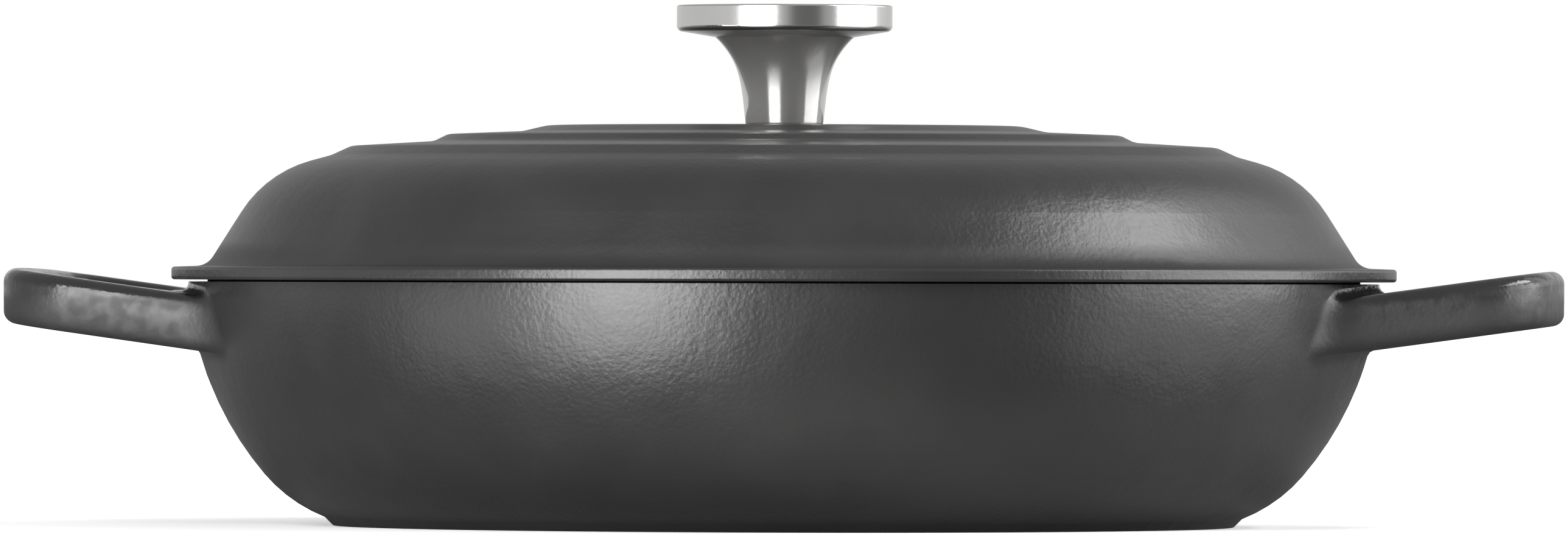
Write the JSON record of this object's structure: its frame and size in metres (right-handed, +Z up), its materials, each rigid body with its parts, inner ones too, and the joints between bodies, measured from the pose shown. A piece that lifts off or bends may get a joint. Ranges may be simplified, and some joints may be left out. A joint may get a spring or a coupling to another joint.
{
  "type": "braiser",
  "caption": "Low round enamelled iron braiser with two tilted loop handles and a stepped domed lid that lifts off by a steel disc knob on a flared stem.",
  "frame": {"origin": "centre of the foot ring on the surface the pot stands on", "axes": "+X along the two handles, +Z up along the axis of pot, lid and knob"},
  "size_m": [0.3922, 0.308, 0.1309],
  "materials": {
    "enamelled_iron": "satin charcoal enamel with a fine orange peel outside, pale sand enamel inside, bare dark rim",
    "enamelled_iron_lid": "satin charcoal enamel outside, pale sand enamel inside, bare dark seat",
    "brushed_knob_steel": "turned stainless steel with fine rings",
    "polished_knob_steel": "polished stainless steel",
    "insert_brass": "plain turned",
    "fastener_steel": "plain stainless"
  },
  "bodies": {
    "pot": {"pot": "enamelled_iron"},
    "lid": {"lid": "enamelled_iron_lid", "knob_cap": "brushed_knob_steel", "knob_stem": "polished_knob_steel", "knob_insert": "insert_brass"},
    "washers": {"flat_washer": "fastener_steel", "spring_washer": "fastener_steel"},
    "screw": {"knob_screw": "fastener_steel"}
  },
  "joints": [
    {"name": "lid_lift", "type": "slide", "parent": "pot", "child": "lid", "axis": [0, 0, 1], "range_m": [0, 0.12]},
    {"name": "screw_drop", "type": "slide", "parent": "lid", "child": "washers", "axis": [0, 0, -1], "range_m": [0, 0.009]},
    {"name": "screw_turn", "type": "hinge", "parent": "washers", "child": "screw", "pos_m": [0, 0, 0.1], "axis": [0, 0, -1], "range_deg": [0, 4052]}
  ],
  "couplings": [
    {"joint": "screw_turn", "follows": "screw_drop", "rad_per_m": 7854}
  ]
}
